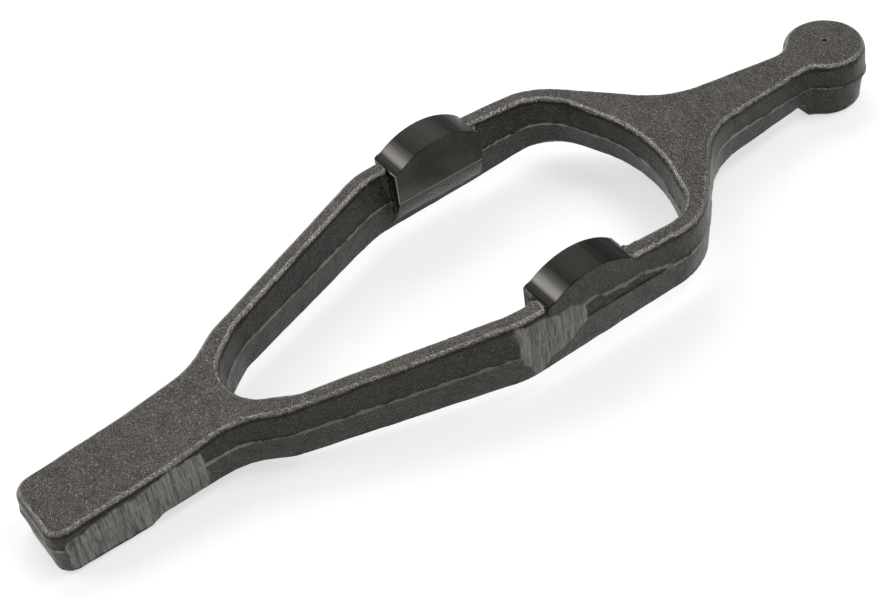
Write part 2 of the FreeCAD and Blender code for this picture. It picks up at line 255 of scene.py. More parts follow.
# %% Round the roots and level the hollows
ROOT_REACH = 5.6 * MM
ROOT_STEP = 0.8 * MM
ROOT_BLEND = 5.0 * MM
ROOT_WALL_Y = 48.6 * MM
ARM_EDGE_Y = 47.9 * MM
EDGE_ROUND = 3.0 * MM
ROOT_NET_Y = 51.0 * MM
ROOT_NET_BOTTOM = 33.0 * MM
ROOT_INNER_Y = 41.0 * MM
ROOT_OUTER_Y = 50.3 * MM
ROOT_LOWEST = 35.4 * MM
ROOT_HIGHEST = 38.7 * MM
HOLLOW_X = -8.2 * MM
HOLLOW_TOP = 40.3 * MM
HOLLOW_RUN_OUT = 38.9 * MM

bpy.ops.object.mode_set(mode="EDIT")
for end_x, side in ((PAD_START_X, -1), (PAD_END_X, 1)):
    cuts = [((end_x + side * ROOT_STEP * count, 0, 0), (1, 0, 0)) for count in range(1, 8)]
    for across in (-1, 1):
        cuts += [((0, across * (PAD_INNER_Y + ROOT_STEP * count), 0), (0, 1, 0)) for count in range(1, 12)]
    for point, normal in cuts:
        bpy.ops.mesh.select_all(action="DESELECT")
        bm = bmesh.from_edit_mesh(fork.data)
        for face in bm.faces:
            middle = face.calc_center_median()
            along = (middle.x - end_x) * side
            near = -2 * NEAR < along < ROOT_REACH and ROOT_INNER_Y < abs(middle.y) < ROOT_NET_Y
            face.select_set(near and middle.z > ROOT_NET_BOTTOM)
        bmesh.update_edit_mesh(fork.data)
        cut(point, normal)
bpy.ops.object.mode_set(mode="OBJECT")


def rounded_height(along, across):
    """Height of the arm's top face at a place on a pad's root, where it rounds off into the blend."""
    from_blend_x = max(0.0, ROOT_BLEND - along)
    from_blend_y = max(0.0, across - (ROOT_WALL_Y - ROOT_BLEND))
    inward = max(0.0, across - ARM_EDGE_Y, math.hypot(from_blend_x, from_blend_y) - ROOT_BLEND)
    fall = max(0.0, EDGE_ROUND - inward)
    return RING_HEIGHT - EDGE_ROUND + math.sqrt(max(0.0, EDGE_ROUND ** 2 - fall ** 2))


lifted = 0
for point in fork.data.vertices:
    place = point.co
    across = abs(place.y)
    for end_x, side in ((PAD_START_X, -1), (PAD_END_X, 1)):
        along = (place.x - end_x) * side
        beside = 0 <= along < ROOT_REACH and ROOT_INNER_Y < across < ROOT_OUTER_Y
        if not beside or not ROOT_LOWEST < place.z < ROOT_HIGHEST:
            continue
        height = rounded_height(along, across)
        if height > place.z:
            place.z = height
            lifted += 1
    in_hollow = PAD_START_X - 4 * NEAR < place.x < HOLLOW_X and across < PAD_OUTER_Y + MM
    if in_hollow and place.z > HOLLOW_RUN_OUT:
        share = (place.x - PAD_START_X) / (HOLLOW_X - PAD_START_X)
        place.z = min(place.z, HOLLOW_RUN_OUT + (HOLLOW_TOP - HOLLOW_RUN_OUT) * share)
fork.data.update()
print("lifted", lifted, "points of the roots")

# %% [markdown]
# ## Flash line
#
# Where the dies meet, a thin fin of metal escapes.  It is trimmed off and leaves a low ragged ridge all
# round.  A ridge added on top would make the fork wider than it measures.  The CAD walls end at the
# ridge's crest, so the walls on both sides of it are drawn in a little and the crest stays where it is.
# The amount changes along the fork, since no trimming tool cuts evenly.

# %% Draw the walls in beside the flash
FLASH_HEIGHT = 0.38 * MM
FLASH_RAGGED_SCALE = 140.0
FLASH_USUAL = 0.8
FLASH_LEAST = 0.25
PAD_ZONE_HALF_LENGTH = 22.0 * MM
PAD_ZONE_Y = 47.0 * MM
CREST_FOOT = RING_HEIGHT + 0.6 * MM
FLAT_REACH = PAD_INNER_Y + 0.4 * MM


def is_machined(place):
    """Whether a place is on a crest or on an inner flat, which the cutter left true."""
    return on_pad(place) and (place.z > CREST_FOOT or abs(place.y) < FLAT_REACH)


def raggedness(place):
    """How much more or less than usual the flash stands out at a place."""
    broad = noise.noise(place * FLASH_RAGGED_SCALE)
    fine = noise.noise(place * FLASH_RAGGED_SCALE * 3)
    return broad * 0.5 + fine * 0.35


moved = 0
normals = [point.normal.copy() for point in fork.data.vertices]
for point, normal in zip(fork.data.vertices, normals):
    rise = abs(point.co.z - parting_height(point.co.x))
    sideways = Vector((normal.x, normal.y, 0))
    in_pad_zone = abs(point.co.x - PAD_MIDDLE_X) < PAD_ZONE_HALF_LENGTH and abs(point.co.y) < PAD_ZONE_Y
    on_crest_of_flash = rise < FLASH_FOOT * 0.5
    on_wall = sideways.length >= 0.3
    if is_machined(point.co) or in_pad_zone or on_crest_of_flash or not on_wall:
        continue
    point.co -= sideways * FLASH_HEIGHT * max(FLASH_LEAST, FLASH_USUAL + raggedness(point.co))
    moved += 1
fork.data.update()
print("drew", moved, "wall points in")

# %% [markdown]
# ## Ground flats
#
# Someone held this fork against a grinding belt in two places on its near side, to clear the flash for
# a fitting.  A belt leaves a true plane.  Cutting the fork with that plane would leave a hole to close, so
# instead every point that stands out past the plane is brought back onto it.

# %% Grind the two flats
TANG_GRIND_Y = 17.12 * MM       # reach of the plane at the floor, near the tang's end
TANG_GRIND_X = -185.0 * MM
TANG_GRIND_LEAN = 0.0355        # outwards with height
TANG_GRIND_TAPER = 0.0105       # outwards towards the arms
TANG_GRIND_ZONE = ((-196.5 * MM, -138.5 * MM), (2.0 * MM, 22.0 * MM), -16.0 * MM)
ARM_GRIND_Y = 57.3 * MM
ARM_GRIND_X = -8.0 * MM
ARM_GRIND_TAPER = 0.030
ARM_GRIND_ZONE = ((-25.0 * MM, 9.0 * MM), (10.0 * MM, 35.5 * MM), -52.0 * MM)


def tang_plane(place):
    """Depth y of the flat ground on the tang's near wall."""
    return -(TANG_GRIND_Y + TANG_GRIND_LEAN * place.z + TANG_GRIND_TAPER * (place.x - TANG_GRIND_X))


def arm_plane(place):
    """Depth y of the flat ground across the bend of the near arm."""
    return -(ARM_GRIND_Y + ARM_GRIND_TAPER * (place.x - ARM_GRIND_X))


ground = 0
for point in fork.data.vertices:
    place = point.co
    for (along, heights, wall_y), plane in ((TANG_GRIND_ZONE, tang_plane), (ARM_GRIND_ZONE, arm_plane)):
        in_zone = along[0] < place.x < along[1] and heights[0] < place.z < heights[1]
        if in_zone and place.y < min(wall_y, plane(place)):
            place.y = plane(place)
            ground += 1
fork.data.update()
print("ground", ground, "points flat")

# %% [markdown]
# ## Uneven forged skin
#
# Scale is pressed into a hot forging, and its faces come out slightly wavy.  Bump in the material would
# show it in the light but not along the edges, so a Displace modifier with a soft cloud texture moves the
# points.  It only sinks the surface, so the fork never grows, and a vertex group keeps it off the machined
# faces and off the floor.

# %% Roughen the forged skin
WAVE_DEPTH = 0.30 * MM
WAVE_LENGTH = 7.0 * MM
FLOOR_STRIP = 1.0 * MM
WIDEST_Y = 57.7 * MM

skin = fork.vertex_groups.new(name="forged_skin")
for point in fork.data.vertices:
    keep = is_machined(point.co) or point.co.z < FLOOR_STRIP
    edge_of_box = abs(point.co.y) > WIDEST_Y or point.co.x < TANG_END_X + 2 * NEAR
    if not keep and not edge_of_box:
        skin.add([point.index], 1.0, "REPLACE")
clouds = bpy.data.textures.new("forging waves", "CLOUDS")
clouds.noise_scale = WAVE_LENGTH
clouds.noise_depth = 2
waves = fork.modifiers.new("waves", "DISPLACE")
waves.texture = clouds
waves.texture_coords = "LOCAL"
waves.strength = WAVE_DEPTH
waves.mid_level = 1.0
waves.vertex_group = skin.name
bpy.ops.object.modifier_apply(modifier=waves.name)
print("roughened", sum(1 for point in fork.data.vertices if point.groups), "points")

# %% [markdown]
# ## Centre punch
#
# The boss has one centre-punch mark, as for the start of a drill.  A Boolean with a cone would do, but it
# needs a second piece and can fail where many small faces meet.  Planes through the top face outline a
# small round spot instead, and the one face inside it is inset and pushed down to a point.

# %% Punch the boss
PUNCH_PLACE = Vector((184.2 * MM, 0.6 * MM, BOSS_HEIGHT))
PUNCH_RADIUS = 1.25 * MM
PUNCH_DEPTH = 0.9 * MM
PUNCH_RIM = 0.12 * MM
PUNCH_SIDES = 12


def select_near_punch(reach):
    """Selects the faces on the boss's top whose middle is within a reach of the punch mark."""
    bm = bmesh.from_edit_mesh(fork.data)
    bpy.ops.mesh.select_all(action="DESELECT")
    for face in bm.faces:
        middle = face.calc_center_median()
        near = (middle.xy - PUNCH_PLACE.xy).length < reach and middle.z > BOSS_HEIGHT - 2 * MM
        face.select_set(near)
    bmesh.update_edit_mesh(fork.data)


bpy.ops.object.mode_set(mode="EDIT")
for side in range(PUNCH_SIDES):
    angle = 2 * math.pi * side / PUNCH_SIDES
    direction = Vector((math.cos(angle), math.sin(angle), 0))
    select_near_punch(4 * MM)
    cut(PUNCH_PLACE + direction * PUNCH_RADIUS, direction)
select_near_punch(PUNCH_RADIUS)
bpy.ops.mesh.dissolve_faces()
bpy.ops.mesh.inset(thickness=PUNCH_RIM, depth=-PUNCH_RIM)
bpy.ops.mesh.poke(offset=-PUNCH_DEPTH)
bpy.ops.object.mode_set(mode="OBJECT")
print("punched", len(fork.data.vertices), "points,", len(fork.data.polygons), "faces")

# %% [markdown]
# ## Shading
#
# Smooth shading alone would bend the light near every edge of a flat face.  Edges sharper than a limit are
# kept sharp, and the Weighted Normal modifier lets the large faces decide, so that the flats look flat and
# the fillets round.  Then the piece is tied to the fork's body and stands for its CAD node.

# %% Shade it smooth, with true flats
SMOOTH_BELOW = math.radians(42)

bpy.ops.object.select_all(action="DESELECT")
fork.select_set(True)
bpy.context.view_layer.objects.active = fork
bpy.ops.object.shade_smooth_by_angle(angle=SMOOTH_BELOW)
weighted = fork.modifiers.new("weighted", "WEIGHTED_NORMAL")
weighted.keep_sharp = True
weighted.weight = 60
bpy.ops.object.modifier_apply(modifier=weighted.name)
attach(fork, "root")
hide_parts("clutch_fork")
print("forging", len(fork.data.vertices), "points,", len(fork.data.polygons), "faces")

# %% [markdown]
# ## Tools for node work
#
# A material is a small program of nodes.  In the editor each node is added and linked by hand; in a script
# a few helpers keep the cells short.  One makes a group with named sockets, and the others add a node and
# connect whatever they are given, a socket or a plain number.


# %% Helpers for nodes
def new_group(name, inputs, outputs):
    """An empty node group with named sockets, and its input and output nodes."""
    tree = bpy.data.node_groups.new(name, "ShaderNodeTree")
    for socket_name, kind, value in inputs:
        socket = tree.interface.new_socket(name=socket_name, in_out="INPUT", socket_type=kind)
        if value is not None:
            socket.default_value = value
    for socket_name, kind in outputs:
        tree.interface.new_socket(name=socket_name, in_out="OUTPUT", socket_type=kind)
    return tree, tree.nodes.new("NodeGroupInput"), tree.nodes.new("NodeGroupOutput")


def give(tree, socket, value):
    """Connects a socket to another one, or sets its number."""
    if isinstance(value, bpy.types.NodeSocket):
        tree.links.new(value, socket)
    else:
        socket.default_value = value


def calc(tree, operation, first, second=0.5, third=0.5, clamp=False):
    """One Math node; returns its result."""
    node = tree.nodes.new("ShaderNodeMath")
    node.operation = operation
    node.use_clamp = clamp
    for socket, value in zip(node.inputs, (first, second, third)):
        give(tree, socket, value)
    return node.outputs[0]


def product(tree, first, *others):
    """Several sockets or numbers multiplied together."""
    result = first
    for other in others:
        result = calc(tree, "MULTIPLY", result, other)
    return result


def steps(tree, value, low, high, inverse=False):
    """Smooth step from 0 at low to 1 at high, or from 1 down to 0 when inverse."""
    node = tree.nodes.new("ShaderNodeMapRange")
    node.interpolation_type = "SMOOTHSTEP"
    give(tree, node.inputs["Value"], value)
    node.inputs["From Min"].default_value = low
    node.inputs["From Max"].default_value = high
    node.inputs["To Min"].default_value = 1.0 if inverse else 0.0
    node.inputs["To Max"].default_value = 0.0 if inverse else 1.0
    return node.outputs["Result"]


def noise_of(tree, place, scale, detail=2.0, roughness=0.5):
    """Noise value at a place; scale is in cells per metre."""
    node = tree.nodes.new("ShaderNodeTexNoise")
    give(tree, node.inputs["Vector"], place)
    node.inputs["Scale"].default_value = scale
    node.inputs["Detail"].default_value = detail
    node.inputs["Roughness"].default_value = roughness
    return node.outputs["Fac"]


def blend_colour(tree, factor, first, second):
    """Mixes two colours, given as sockets or as red, green and blue."""
    node = tree.nodes.new("ShaderNodeMix")
    node.data_type = "RGBA"
    give(tree, node.inputs[0], factor)
    for socket, value in ((node.inputs[6], first), (node.inputs[7], second)):
        give(tree, socket, value if isinstance(value, bpy.types.NodeSocket) else (*value, 1.0))
    return node.outputs[2]


def add_group(tree, group, **values):
    """Places a group in a tree and sets or connects its inputs."""
    node = tree.nodes.new("ShaderNodeGroup")
    node.node_tree = group
    for name, value in values.items():
        give(tree, node.inputs[name.replace("_", " ")], value)
    return node


print("node helpers ready")

# %% [markdown]
# ## Shot-blasted grain
#
# Steel shot leaves craters of about a millimetre, packed side by side, and between them the scale stays
# in dark patches.  A Voronoi texture gives craters too, but too regular ones.  Noise of two sizes gives the
# height, a finer one the bright specks, and a slow one the mottling.  It is a group, so that any other
# blasted piece can use it with one node.

# %% Group: blasted grain
grain, grain_in, grain_out = new_group(
    "blasted grain",
    [("Place", "NodeSocketVector", None)],
    [("Height", "NodeSocketFloat"), ("Specks", "NodeSocketFloat"), ("Mottle", "NodeSocketFloat")],
)
place = grain_in.outputs["Place"]
craters = noise_of(grain, place, 1500.0, 2.0, 0.6)
dents = noise_of(grain, place, 480.0, 2.0, 0.5)
height = calc(grain, "MULTIPLY_ADD", dents, 0.7, calc(grain, "MULTIPLY", craters, 0.6))
grain.links.new(height, grain_out.inputs["Height"])
speck_noise = noise_of(grain, place, 2500.0, 1.0, 0.6)
grain.links.new(steps(grain, speck_noise, 0.52, 0.74), grain_out.inputs["Specks"])
mottle = noise_of(grain, place, 170.0, 5.0, 0.6)
grain.links.new(steps(grain, mottle, 0.36, 0.66), grain_out.inputs["Mottle"])
print("group", grain.name, len(grain.nodes), "nodes")

# %% [markdown]
# ## Lines left by a tool
#
# A grinding belt and a milling cutter both leave fine parallel lines.  A Wave texture would space them
# too evenly.  Noise is squeezed along one axis and drawn out along the other instead, and since both
# materials need it, each with its own stretch, it is a group.

# %% Group: tool lines
tool_lines, tool_in, tool_out = new_group(
    "tool lines",
    [("Place", "NodeSocketVector", None), ("Stretch", "NodeSocketVector", (1.0, 1.0, 1.0))],
    [("Height", "NodeSocketFloat"), ("Streaks", "NodeSocketFloat")],
)
drawn = tool_lines.nodes.new("ShaderNodeVectorMath")
drawn.operation = "MULTIPLY"
tool_lines.links.new(tool_in.outputs["Place"], drawn.inputs[0])
tool_lines.links.new(tool_in.outputs["Stretch"], drawn.inputs[1])
fine_lines = noise_of(tool_lines, drawn.outputs[0], 1.0, 3.0, 0.7)
broad_lines = noise_of(tool_lines, drawn.outputs[0], 0.28, 2.0, 0.5)
tool_lines.links.new(fine_lines, tool_out.inputs["Height"])
streaks = calc(tool_lines, "MULTIPLY_ADD", broad_lines, 0.4, calc(tool_lines, "MULTIPLY", fine_lines, 0.6))
tool_lines.links.new(steps(tool_lines, streaks, 0.38, 0.62), tool_out.inputs["Streaks"])
print("group", tool_lines.name, len(tool_lines.nodes), "nodes")

# %% [markdown]
# ## Forged skin
#
# The skin is one material with several things laid over each other: the mottled brown-grey scale, the
# rounded edges that handling has rubbed bright and that also carry a painted highlight, painted shade at
# the foot of the fillets, underneath and on the walls, the thin flash line, the worn edge under the near
# pad, the two ground flats and the punch mark with its painted shade and highlight.  They could be painted
# on, but a painting needs an image.  Where each one lies is worked out from the place on the fork and from
# the way that the surface faces.

# %% Forged skin: place, facing and grain
SCALE_DARK = (0.035, 0.0315, 0.0255)
SCALE_LIGHT = (0.053, 0.0478, 0.0395)
RUBBED_STEEL_AND_HIGHLIGHT = (0.36, 0.345, 0.315)
METAL_SHARE = 0.75

skin_steel = bpy.data.materials.new("forged_skin")
skin_steel.use_nodes = True
tree = skin_steel.node_tree
skin_shader = tree.nodes["Principled BSDF"]
coordinates = tree.nodes.new("ShaderNodeTexCoord")
place = coordinates.outputs["Object"]
where = tree.nodes.new("ShaderNodeSeparateXYZ")
tree.links.new(place, where.inputs[0])
x, y, z = where.outputs
facing = tree.nodes.new("ShaderNodeSeparateXYZ")
tree.links.new(coordinates.outputs["Normal"], facing.inputs[0])
facing_up = facing.outputs["Z"]
skin_grain = add_group(tree, grain, Place=place)
colour = blend_colour(tree, skin_grain.outputs["Mottle"], SCALE_DARK, SCALE_LIGHT)
print("skin base colour from", SCALE_DARK, "to", SCALE_LIGHT)

# %% [markdown]
# ## Rubbed edges, painted highlight and painted shade
#
# Handling rubs a forging where it is rounded, on the fillets between the top and the walls, and the same
# bright colour on the upper half of each fillet is also a painted highlight.  A Bevel node finds edges too,
# but in one renderer only, and Pointiness depends on how fine the net is.  The fillets are nearly the only
# faces that look half up and half sideways, so the normal's height finds them.  The same number, a little
# lower, finds the lower half of each fillet, which gets painted shade, as do the faces that look down.

# %% Forged skin: rubbed edges with painted highlight, and painted shade below them
PAINTED_SHADE = (0.012, 0.011, 0.009)
PAINTED_SHADE_STRENGTH = 0.6
SPECK_STRENGTH = 0.6
PATCH_SCALE = 1300.0
PATCH_CONTRAST = 2.2
PATCH_OFFSET = -0.6

# Upper half of each fillet: real wear and a painted highlight, in one bright colour.
rubbed_and_highlight_low = steps(tree, facing_up, 0.45, 0.72)
rubbed_and_highlight_high = steps(tree, facing_up, 0.94, 0.995, inverse=True)
patches = noise_of(tree, place, PATCH_SCALE, 3.0, 0.7)
patchy = calc(tree, "MULTIPLY_ADD", patches, PATCH_CONTRAST, PATCH_OFFSET)
rubbed_and_highlight = calc(tree, "MULTIPLY", product(tree, rubbed_and_highlight_low, rubbed_and_highlight_high), patchy, clamp=True)
specks = product(tree, skin_grain.outputs["Specks"], SPECK_STRENGTH)
bright = calc(tree, "MAXIMUM", rubbed_and_highlight, specks)
colour = blend_colour(tree, bright, colour, RUBBED_STEEL_AND_HIGHLIGHT)
# Painted shade: the lower half of each fillet and every face that looks down are darkened.
shade_low = steps(tree, facing_up, 0.09, 0.20)
shade_high = steps(tree, facing_up, 0.40, 0.60, inverse=True)
shade_underneath = steps(tree, facing_up, -0.35, -0.15, inverse=True)
painted_shade = calc(tree, "MAXIMUM", product(tree, shade_low, shade_high), shade_underneath)
colour = blend_colour(tree, product(tree, painted_shade, PAINTED_SHADE_STRENGTH), colour, PAINTED_SHADE)
print("edges rubbed bright, with grime under them")

# %% [markdown]
# ## Painted shade on the walls
#
# The walls get painted shade: they are darker than the top, darkest above the parting line, and the lower
# wall of the ring is darker too.  A second material on the walls would change from one face to the next.  A
# mask from the normal changes softly over the fillets.

# %% Forged skin: painted shade on the walls
PAINTED_WALL_SHADE = (0.010, 0.009, 0.0075)
WALL_STRENGTH = 0.34
UPPER_WALL_STRENGTH = 0.16
LOWER_RING_STRENGTH = 0.14

line_height = None
for height, slope in stretches():
    line = calc(tree, "MULTIPLY_ADD", x, slope, height)
    line_height = line if line_height is None else calc(tree, "MINIMUM", line_height, line)
above = calc(tree, "SUBTRACT", z, line_height)
on_wall = steps(tree, calc(tree, "ABSOLUTE", facing_up), 0.30, 0.60, inverse=True)
upper_wall = product(tree, steps(tree, above, -0.2 * MM, 0.6 * MM), on_wall)
below = steps(tree, above, -1.0 * MM, 0.0, inverse=True)
lower_ring = product(tree, below, on_wall, steps(tree, x, 25 * MM, 45 * MM))
# Painted shade: all walls, with more above the parting line and on the ring's lower wall.
darkened = product(tree, on_wall, WALL_STRENGTH)
darkened = calc(tree, "MULTIPLY_ADD", upper_wall, UPPER_WALL_STRENGTH, darkened)
darkened = calc(tree, "MULTIPLY_ADD", lower_ring, LOWER_RING_STRENGTH, darkened)
colour = blend_colour(tree, darkened, colour, PAINTED_WALL_SHADE)
print("walls darkened by", WALL_STRENGTH, "to", WALL_STRENGTH + UPPER_WALL_STRENGTH)

# %% [markdown]
# ## The trimmed flash
#
# The trimmed edge of the flash is bare metal.  A strip of faces could get its own material, but its edges
# would be as straight as the net.  Here the mask is the distance from the parting line, and noise is added
# to that distance, so the line wanders and breaks.  It is faint on the boss and on the near arm, and it is
# missing at the pads, where the cutter and the worn edge take its place.

# %% Forged skin: flash line
FLASH_STRENGTH = 0.58
FLASH_LESS_ON_BOSS = -0.38
FLASH_LESS_ON_NEAR_ARM = -0.35

wandering = noise_of(tree, place, FLASH_RAGGED_SCALE, 4.0, 0.7)
ragged = calc(tree, "MULTIPLY_ADD", wandering, -3.6 * MM, 1.75 * MM)
from_line = calc(tree, "ADD", calc(tree, "ABSOLUTE", above), ragged)
flash = steps(tree, from_line, 0.25 * MM, 0.75 * MM, inverse=True)
on_boss = steps(tree, x, 140 * MM, 165 * MM)
strength = calc(tree, "MULTIPLY_ADD", on_boss, FLASH_LESS_ON_BOSS, FLASH_STRENGTH)
outer_near = steps(tree, y, -24 * MM, -18 * MM, inverse=True)
near_arm = product(tree, outer_near, steps(tree, x, -14 * MM, -8 * MM, inverse=True))
on_near_arm = calc(tree, "MULTIPLY_ADD", near_arm, FLASH_LESS_ON_NEAR_ARM, 1.0)
flash = product(tree, flash, on_wall, strength, on_near_arm)
print("flash line of strength", FLASH_STRENGTH)

# %% Forged skin: no flash at the pads
near_side = steps(tree, y, -56.0 * MM, -55.0 * MM, inverse=True)
past_bend = steps(tree, x, 4 * MM, 8 * MM)
before_ring_end = steps(tree, x, 42 * MM, 46 * MM, inverse=True)
flash = calc(tree, "SUBTRACT", flash, product(tree, past_bend, near_side, before_ring_end), clamp=True)
from_pad = calc(tree, "ABSOLUTE", calc(tree, "SUBTRACT", x, PAD_MIDDLE_X))
beside_pad = steps(tree, from_pad, 21 * MM, 22 * MM, inverse=True)
inner_side = steps(tree, calc(tree, "ABSOLUTE", y), 46.5 * MM, 47.5 * MM, inverse=True)
flash = calc(tree, "SUBTRACT", flash, product(tree, beside_pad, inner_side), clamp=True)
colour = blend_colour(tree, flash, colour, RUBBED_STEEL_AND_HIGHLIGHT)
print("flash line lit, except at the pads")

# %% [markdown]
# ## Worn edge under the near pad
#
# Under the near pad the trimming left a ragged edge that rises above the parting line, worn bright in
# blobs.  Its course is a line of seven points, in millimetres of x and z.  As with the flash, a mask of the
# distance from the line is widened and narrowed by noise.

# %% Forged skin: worn edge under the near pad
WORN_LINE = (
    (5.9, 30.7),
    (12.3, 31.2),
    (18.5, 29.4),
    (26.5, 28.1),
    (33.9, 28.9),
    (41.1, 26.5),
    (50.0, 23.4),
)
WORN_STRENGTH = 0.32

worn = None
for (start_x, start_z), (end_x, end_z) in zip(WORN_LINE, WORN_LINE[1:]):
    slope = (end_z - start_z) / (end_x - start_x)
    over = calc(tree, "MULTIPLY_ADD", x, slope, (start_z - slope * start_x) * MM)
    off = calc(tree, "ABSOLUTE", calc(tree, "SUBTRACT", z, over))
    past = calc(tree, "MAXIMUM", calc(tree, "SUBTRACT", start_x * MM, x), off)
    past = calc(tree, "MAXIMUM", past, calc(tree, "SUBTRACT", x, end_x * MM))
    worn = past if worn is None else calc(tree, "MINIMUM", worn, past)
blobs = calc(tree, "MULTIPLY_ADD", noise_of(tree, place, 170.0, 3.0, 0.6), -4.2 * MM, 2.1 * MM)
worn = steps(tree, calc(tree, "ADD", worn, blobs), 0.55 * MM, 1.1 * MM, inverse=True)
colour = blend_colour(tree, product(tree, worn, near_side, WORN_STRENGTH), colour, RUBBED_STEEL_AND_HIGHLIGHT)
print("worn edge in", len(WORN_LINE) - 1, "stretches")

# %% [markdown]
# ## Finish of the ground flats
#
# The two flats show bare steel with the lines of the belt.  A belt's outline is straight on most sides, so
# each flat is drawn with planes, as pairs of a direction and a reach: a place is ground if it lies inside
# all of them.  A slow noise moves the place first, so the outline wanders as a hand does.

# %% Forged skin: outline of the ground flats
GROUND_STEEL = (0.235, 0.227, 0.21)
GROUND_DARK = (0.06, 0.057, 0.052)
GROUND_STRENGTH = 0.85
GROUND_SOFTNESS = 0.5 * MM
BELT_STRETCH = (2600.0, 300.0, 170.0)
WANDER = 3.0 * MM
TANG_FLAT_SIDES = (
    ((-1, 0, 0), 0.1960),
    ((1, 0, 0), -0.1390),
    ((0, 0, -1), -0.0020),
    ((-0.11, 0, 1), 0.0395),
    ((0, 1, 0), -0.0160),
)
ARM_FLAT_SIDES = (
    ((-1, 0, 0), 0.0238),
    ((1, 0, 0.1), 0.0105),
    ((0.13, 0, 1), 0.0330),
    ((0.46, 0, -0.89), -0.0155),
    ((-0.9, 0, -0.44), 0.0115),
    ((0, 1, 0), -0.0520),
)


def inside(tree, place, sides, softness):
    """Mask that is 1 inside all the given planes and 0 outside any of them."""
    furthest = None
    for direction, reach in sides:
        direction = Vector(direction)
        dot = tree.nodes.new("ShaderNodeVectorMath")
        dot.operation = "DOT_PRODUCT"
        tree.links.new(place, dot.inputs[0])
        dot.inputs[1].default_value = direction
        past = calc(tree, "SUBTRACT", dot.outputs["Value"], reach)
        furthest = past if furthest is None else calc(tree, "MAXIMUM", furthest, past)
    return steps(tree, furthest, -softness, softness, inverse=True)


print("flats with", len(TANG_FLAT_SIDES), "and", len(ARM_FLAT_SIDES), "sides")

# %% Forged skin: the two ground flats
wander = tree.nodes.new("ShaderNodeTexNoise")
tree.links.new(place, wander.inputs["Vector"])
wander.inputs["Scale"].default_value = 160.0
wander.inputs["Detail"].default_value = 4.0
centred = tree.nodes.new("ShaderNodeVectorMath")
centred.operation = "MULTIPLY_ADD"
tree.links.new(wander.outputs["Color"], centred.inputs[0])
centred.inputs[1].default_value = (2 * WANDER, 0.0, 2 * WANDER)
centred.inputs[2].default_value = (-WANDER, 0.0, -WANDER)
shift = tree.nodes.new("ShaderNodeVectorMath")
tree.links.new(centred.outputs[0], shift.inputs[0])
tree.links.new(place, shift.inputs[1])
shifted = shift.outputs[0]
tang_flat = inside(tree, shifted, TANG_FLAT_SIDES, GROUND_SOFTNESS)
arm_flat = inside(tree, shifted, ARM_FLAT_SIDES, GROUND_SOFTNESS)
ground_mask = calc(tree, "MAXIMUM", tang_flat, arm_flat)
belt = add_group(tree, tool_lines, Place=place, Stretch=BELT_STRETCH)
ground_colour = blend_colour(tree, belt.outputs["Streaks"], GROUND_DARK, GROUND_STEEL)
covered = product(tree, ground_mask, GROUND_STRENGTH)
colour = blend_colour(tree, covered, colour, ground_colour)
print("two ground flats coloured")

# %% [markdown]
# ## Painted shade and highlight of the punch mark
#
# The mark is deep and narrow, so painted shade makes it nearly black inside, and a painted highlight lights
# the thin rim that the punch pushed up.  The distance from the mark's middle gives both.

# %% Forged skin: the punch mark
PUNCH_PAINTED_SHADE = (0.006, 0.005, 0.004)
PUNCH_RIM_HIGHLIGHT_STRENGTH = 0.22

from_punch = tree.nodes.new("ShaderNodeVectorMath")
from_punch.operation = "DISTANCE"
tree.links.new(place, from_punch.inputs[0])
from_punch.inputs[1].default_value = PUNCH_PLACE - Vector((0, 0, 0.5 * PUNCH_DEPTH))
# Painted highlight on the punch's rim, then painted shade inside the mark.
punch_rim_highlight = steps(tree, from_punch.outputs["Value"], 1.45 * MM, 1.75 * MM, inverse=True)
colour = blend_colour(tree, product(tree, punch_rim_highlight, PUNCH_RIM_HIGHLIGHT_STRENGTH), colour, RUBBED_STEEL_AND_HIGHLIGHT)
punch_shade_mask = steps(tree, from_punch.outputs["Value"], 1.1 * MM, 1.35 * MM, inverse=True)
colour = blend_colour(tree, punch_shade_mask, colour, PUNCH_PAINTED_SHADE)
print("punch mark darkened")

# %% [markdown]
# ## Gloss and bump of the skin
#
# Colour alone looks painted.  Bare metal is smoother than scale, so the roughness follows the same masks.
# The craters are much smaller than the net's faces, so they come from a Bump node and not from moved
# points, and the belt's lines take their place where the flats were ground.

# %% Forged skin: gloss and bump
SCALE_ROUGHNESS = 0.38
GRAIN_DEPTH = 0.7 * MM
BELT_DEPTH_SHARE = 0.35

tree.links.new(colour, skin_shader.inputs["Base Color"])
skin_shader.inputs["Metallic"].default_value = METAL_SHARE
roughness = calc(tree, "MULTIPLY_ADD", skin_grain.outputs["Mottle"], -0.06, SCALE_ROUGHNESS)
roughness = calc(tree, "SUBTRACT", roughness, product(tree, bright, 0.12))
tree.links.new(roughness, skin_shader.inputs["Roughness"])
skin_height = product(tree, skin_grain.outputs["Height"], calc(tree, "SUBTRACT", 1.0, covered))
belt_height = product(tree, belt.outputs["Height"], ground_mask, BELT_DEPTH_SHARE)
bump = tree.nodes.new("ShaderNodeBump")
bump.inputs["Strength"].default_value = 1.0
bump.inputs["Distance"].default_value = GRAIN_DEPTH
tree.links.new(calc(tree, "ADD", skin_height, belt_height), bump.inputs["Height"])
tree.links.new(bump.outputs["Normal"], skin_shader.inputs["Normal"])
fork.data.materials.append(skin_steel)
print("forged skin", len(tree.nodes), "nodes")

# %% [markdown]
# ## Machined pads
#
# The cutter left the crests and the inner sides smooth, and oil has darkened them to olive.  The crests'
# near-black colour is darker than oiled steel, as painted shade, so that they stay dark under the key lamp.
# A glossy black would do for a distant view, but close by the inner sides are cloudy and lighter than the
# crests, so each has its own colours, and the way that a face looks along Y tells one from the other.

